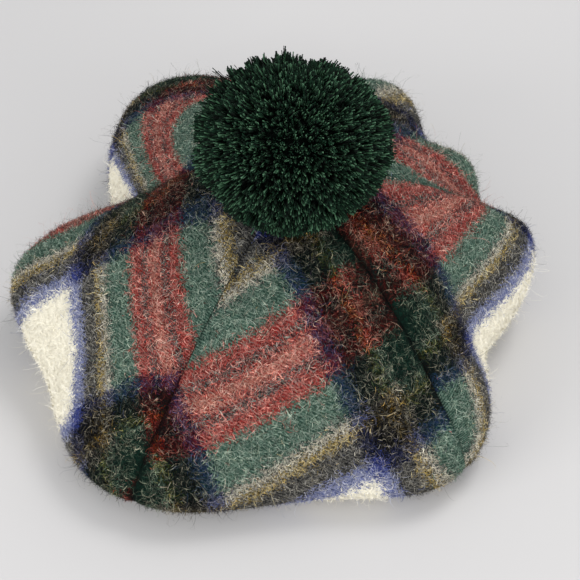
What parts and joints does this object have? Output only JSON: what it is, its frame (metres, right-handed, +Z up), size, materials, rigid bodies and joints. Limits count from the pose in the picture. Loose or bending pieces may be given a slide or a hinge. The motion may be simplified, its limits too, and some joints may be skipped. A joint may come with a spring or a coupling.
{
  "type": "tam o shanter",
  "caption": "Soft gored tam o shanter in brushed woollen tartan with drooping folds, a plain headband and a dark green yarn pompom.",
  "frame": {"origin": "middle of the bounding box's floor, on the surface that the headband stands on", "axes": "+Z up through the crown, -Y to the front, +X to the right seen from above with the front towards the viewer"},
  "size_m": [0.3196, 0.3202, 0.2005],
  "materials": {
    "crown_gore_left_tartan": "brushed woollen tartan",
    "crown_gore_front_tartan": "brushed woollen tartan",
    "crown_gore_right_tartan": "brushed woollen tartan",
    "crown_gore_back_right_tartan": "brushed woollen tartan",
    "crown_gore_back_left_tartan": "brushed woollen tartan",
    "headband_cloth": "plain dark wool",
    "pompom_yarn": "cut wool yarn"
  },
  "bodies": {
    "root": {"crown_gore_left": "crown_gore_left_tartan", "crown_gore_front": "crown_gore_front_tartan", "crown_gore_right": "crown_gore_right_tartan", "crown_gore_back_right": "crown_gore_back_right_tartan", "crown_gore_back_left": "crown_gore_back_left_tartan", "headband": "headband_cloth", "pompom": "pompom_yarn"}
  },
  "joints": []
}
